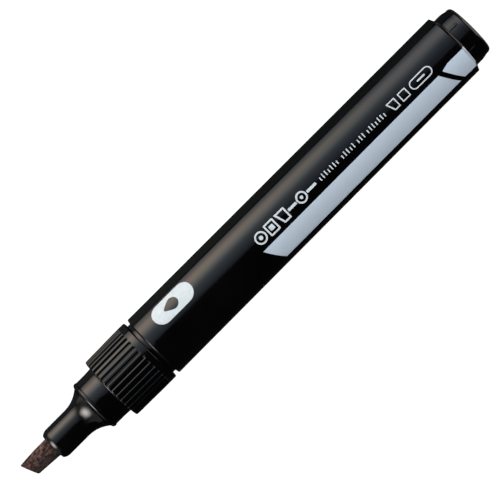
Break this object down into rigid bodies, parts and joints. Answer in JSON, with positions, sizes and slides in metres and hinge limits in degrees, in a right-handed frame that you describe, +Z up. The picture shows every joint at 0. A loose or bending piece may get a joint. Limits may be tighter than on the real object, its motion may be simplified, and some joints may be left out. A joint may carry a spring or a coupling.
{
  "type": "marker pen",
  "caption": "Uncapped chisel-nib permanent marker: round barrel with a ribbed screw-on head, flat felt nib, ink reservoir and a pressed-in tail plug.",
  "frame": {"origin": "on the ground under the middle of the marker, which lies on its side", "axes": "+X along the marker's axis towards the tail, with the nib towards -X; +Z up, on the side where the nib's wide face and the barrel's print are seen; +Y completes the right-handed frame"},
  "size_m": [0.138, 0.0164, 0.0164],
  "materials": {
    "black_plastic": "glossy injection-moulded polypropylene",
    "nib_felt": "bonded felt soaked with dark ink",
    "ink_fibre": "bonded fibre soaked with black ink",
    "clear_film": "thin translucent film",
    "gasket_rubber": "soft matt rubber",
    "silver_print": "silver-grey printing ink on the barrel",
    "white_print": "white printing ink on the barrel"
  },
  "bodies": {
    "barrel": {"barrel": "black_plastic", "tail_plug": "black_plastic", "ink_reservoir": "ink_fibre", "reservoir_wrap": "clear_film"},
    "gasket": {"head_gasket": "gasket_rubber"},
    "head": {"screw_head": "black_plastic", "nib_holder": "black_plastic", "nib": "nib_felt"}
  },
  "joints": [
    {"name": "head_travel", "type": "slide", "parent": "barrel", "child": "gasket", "axis": [-1, 0, 0], "range_m": [0, 0.00751]},
    {"name": "head_unscrew", "type": "hinge", "parent": "gasket", "child": "head", "pos_m": [-0.03425, 0, 0.0082], "axis": [-1, 0, 0], "range_deg": [0, 1080]}
  ],
  "couplings": [
    {"joint": "head_travel", "follows": "head_unscrew", "m_per_rad": 0.00039789}
  ]
}
